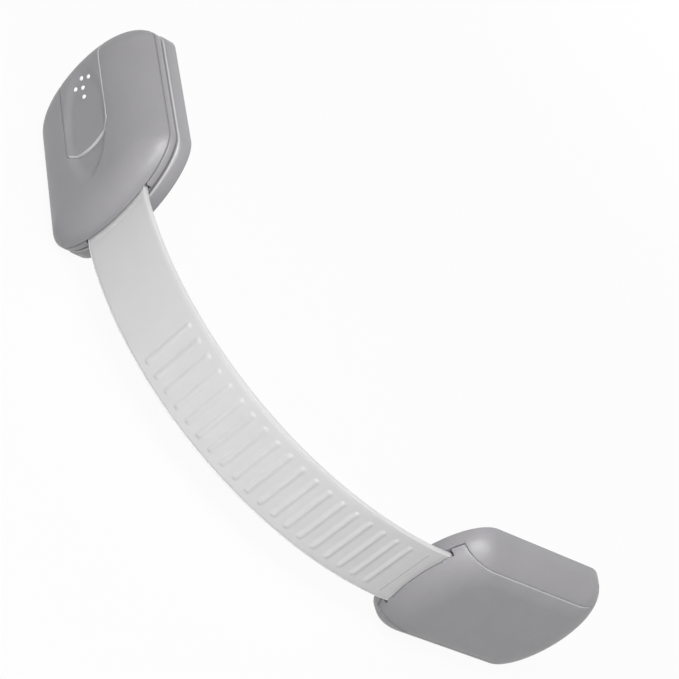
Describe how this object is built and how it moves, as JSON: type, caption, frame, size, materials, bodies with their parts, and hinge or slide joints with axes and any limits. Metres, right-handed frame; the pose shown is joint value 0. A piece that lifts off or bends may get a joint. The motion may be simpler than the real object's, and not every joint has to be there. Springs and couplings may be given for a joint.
{
  "type": "adhesive strap cabinet lock",
  "caption": "Child-safety cabinet lock: a flexible ridged strap between a stuck anchor with a push-on cover and a stuck base gripped by a domed head with a slide button.",
  "frame": {"origin": "centre of the anchor's adhesive face", "axes": "+Y out of the anchor's adhesive face into the furniture, +X away from the strap and out of the latch base's adhesive face, +Z across the strap"},
  "size_m": [0.1256, 0.1195, 0.0398],
  "materials": {
    "grey_plastic": "satin moulded grey",
    "strap_plastic": "milky flexible plastic",
    "foam": "closed-cell foam with adhesive",
    "inner_plastic": "springy plastic",
    "spring_steel": "spring wire"
  },
  "bodies": {
    "anchor": {"anchor_adhesive_pad": "foam", "anchor_base": "grey_plastic"},
    "cover": {"anchor_cover": "grey_plastic", "ratchet_pawl": "inner_plastic"},
    "strap_tail": {"strap_tail": "strap_plastic"},
    "strap_1": {"strap_length_1": "strap_plastic"},
    "strap_2": {"strap_length_2": "strap_plastic"},
    "strap_3": {"strap_length_3": "strap_plastic"},
    "strap_4": {"strap_length_4": "strap_plastic"},
    "strap_5": {"strap_length_5": "strap_plastic"},
    "head": {"strap_root": "strap_plastic", "head_lower_cover": "grey_plastic", "head_shell": "grey_plastic", "latch_clip": "inner_plastic", "return_spring": "spring_steel"},
    "button": {"release_button": "grey_plastic"},
    "latch_plate": {"latch_base": "grey_plastic", "latch_adhesive_pad": "foam"}
  },
  "joints": [
    {"name": "cover_lift", "type": "slide", "parent": "anchor", "child": "cover", "axis": [0, -1, 0], "range_m": [0, 0.012]},
    {"name": "strap_adjust", "type": "slide", "parent": "anchor", "child": "strap_tail", "axis": [-1, 0, 0], "range_m": [0, 0.0111], "deforming": ["ratchet_pawl"]},
    {"name": "strap_flex_1", "type": "hinge", "parent": "strap_tail", "child": "strap_1", "pos_m": [-0.03334, -0.00341, 0], "axis": [0, 0, -1], "range_deg": [-15, 10], "stiffness_Nm_per_rad": 0.01},
    {"name": "strap_flex_2", "type": "hinge", "parent": "strap_1", "child": "strap_2", "pos_m": [-0.05096, 0.00207, 0], "axis": [0, 0, -1], "range_deg": [-15, 10], "stiffness_Nm_per_rad": 0.01},
    {"name": "strap_flex_3", "type": "hinge", "parent": "strap_2", "child": "strap_3", "pos_m": [-0.06376, 0.00944, 0], "axis": [0, 0, -1], "range_deg": [-15, 10], "stiffness_Nm_per_rad": 0.01},
    {"name": "strap_flex_4", "type": "hinge", "parent": "strap_3", "child": "strap_4", "pos_m": [-0.07734, 0.02194, 0], "axis": [0, 0, -1], "range_deg": [-15, 10], "stiffness_Nm_per_rad": 0.01},
    {"name": "strap_flex_5", "type": "hinge", "parent": "strap_4", "child": "strap_5", "pos_m": [-0.08747, 0.03737, 0], "axis": [0, 0, -1], "range_deg": [-15, 10], "stiffness_Nm_per_rad": 0.01},
    {"name": "strap_flex_6", "type": "hinge", "parent": "strap_5", "child": "head", "pos_m": [-0.09354, 0.05479, 0], "axis": [0, 0, -1], "range_deg": [-15, 10], "stiffness_Nm_per_rad": 0.01},
    {"name": "button_slide", "type": "slide", "parent": "head", "child": "button", "axis": [0, 1, 0], "range_m": [0, 0.004], "stiffness_N_per_m": 400, "deforming": ["return_spring", "latch_clip"]},
    {"name": "latch_release", "type": "slide", "parent": "head", "child": "latch_plate", "axis": [1, 0, 0], "range_m": [0, 0.012], "deforming": ["latch_clip"]}
  ],
  "couplings": [
    {"joint": "strap_flex_2", "follows": "strap_flex_1", "ratio": 1},
    {"joint": "strap_flex_3", "follows": "strap_flex_1", "ratio": 1},
    {"joint": "strap_flex_4", "follows": "strap_flex_1", "ratio": 1},
    {"joint": "strap_flex_5", "follows": "strap_flex_1", "ratio": 1},
    {"joint": "strap_flex_6", "follows": "strap_flex_1", "ratio": 1}
  ]
}
